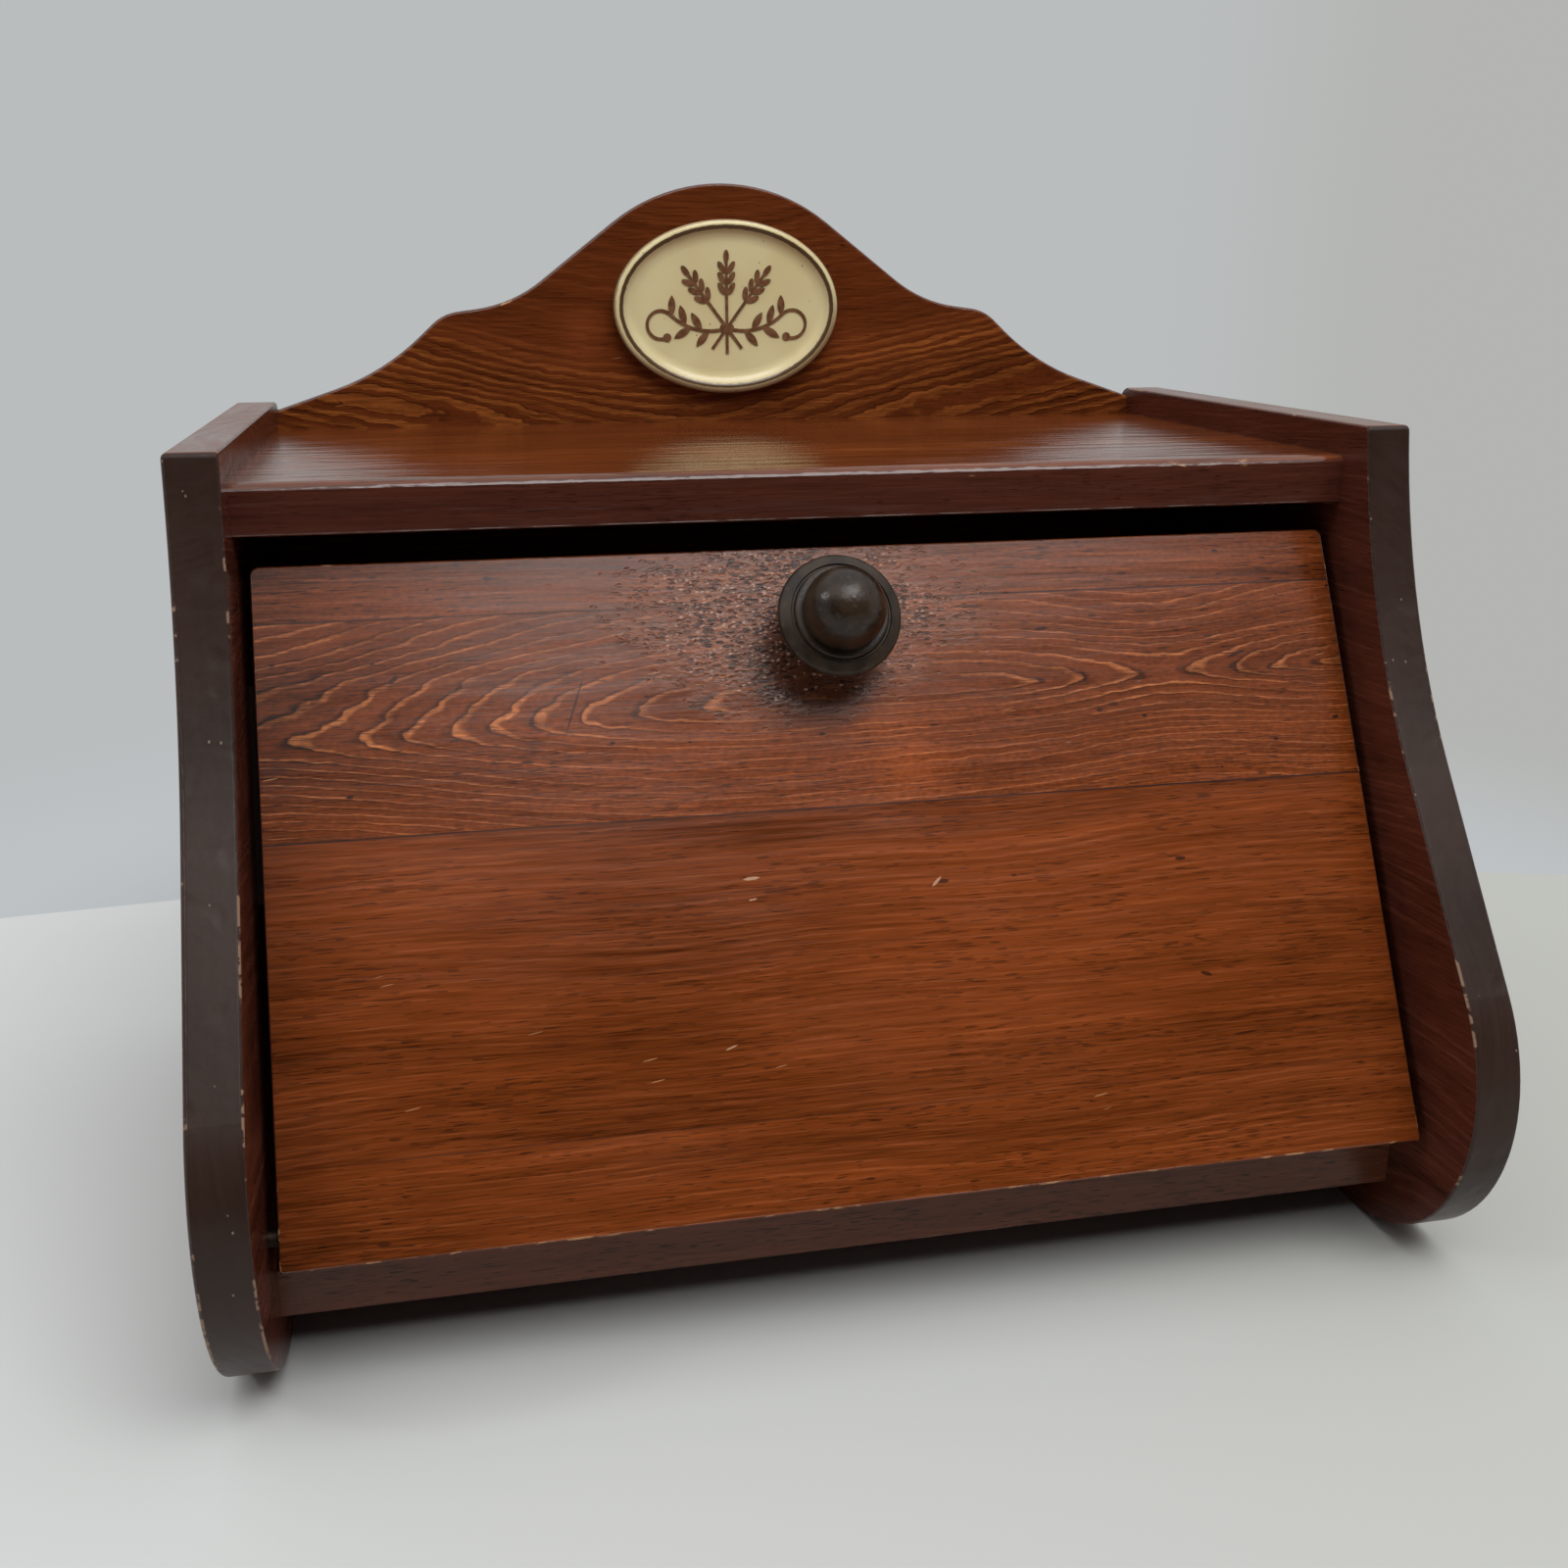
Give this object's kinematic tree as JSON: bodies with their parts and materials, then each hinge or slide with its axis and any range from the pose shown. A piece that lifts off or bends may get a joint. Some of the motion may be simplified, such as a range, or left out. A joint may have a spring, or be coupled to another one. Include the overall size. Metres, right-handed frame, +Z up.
{
  "type": "bread box",
  "caption": "Stained pine bread box with a slanted drop front hinged at its foot, shaped side boards, a top shelf and a curved crest board that carries an oval glazed plaque.",
  "frame": {"origin": "on the table under the middle of the box", "axes": "+X to the right of someone who faces the drop front, +Y to the back, +Z up"},
  "size_m": [0.406, 0.3146, 0.361],
  "materials": {
    "side_boards": "dark brown stain under satin varnish, worn edges",
    "shelf_wood": "red-brown stained pine, satin varnish",
    "bottom_wood": "dark red-brown stain, satin varnish",
    "crest_wood": "orange-brown stained pine, satin varnish",
    "back_wood": "stained pine, matt",
    "door_wood": "orange-brown stained pine, satin varnish, worn round the knob",
    "knob_wood": "turned hardwood, very dark glossy stain",
    "stop_wood": "stained pine, matt",
    "dowel_wood": "plain beech",
    "screw_steel": "zinc plated, dull",
    "pin_steel": "plain steel, dull",
    "brad_steel": "plain steel, dull",
    "plaque_glaze": "cream glazed stoneware with a brown line inside the rim",
    "plaque_brown": "brown glaze, glossy",
    "glue_pad": "hard glue"
  },
  "bodies": {
    "box": {"left_side": "side_boards", "right_side": "side_boards", "top_shelf": "shelf_wood", "bottom_board": "bottom_wood", "crest_board": "crest_wood", "back_board_middle": "back_wood", "back_board_lower": "back_wood", "hinge_pin_left": "pin_steel", "hinge_pin_right": "pin_steel", "door_stop_left": "stop_wood", "door_stop_right": "stop_wood", "stop_brads": "brad_steel", "back_brads": "brad_steel", "shelf_dowels": "dowel_wood", "bottom_dowels": "dowel_wood", "plaque": "plaque_glaze", "plaque_ornament": "plaque_brown", "plaque_glue": "glue_pad"},
    "drop_front": {"door_foot_strip": "door_wood", "door_wide_board": "door_wood", "door_knob_board": "door_wood", "door_head_strip": "door_wood", "knob": "knob_wood", "knob_screw": "screw_steel"}
  },
  "joints": [
    {"name": "drop_front_hinge", "type": "hinge", "parent": "box", "child": "drop_front", "pos_m": [0, -0.12446, 0.05367], "axis": [1, 0, 0], "range_deg": [0, 120]}
  ]
}
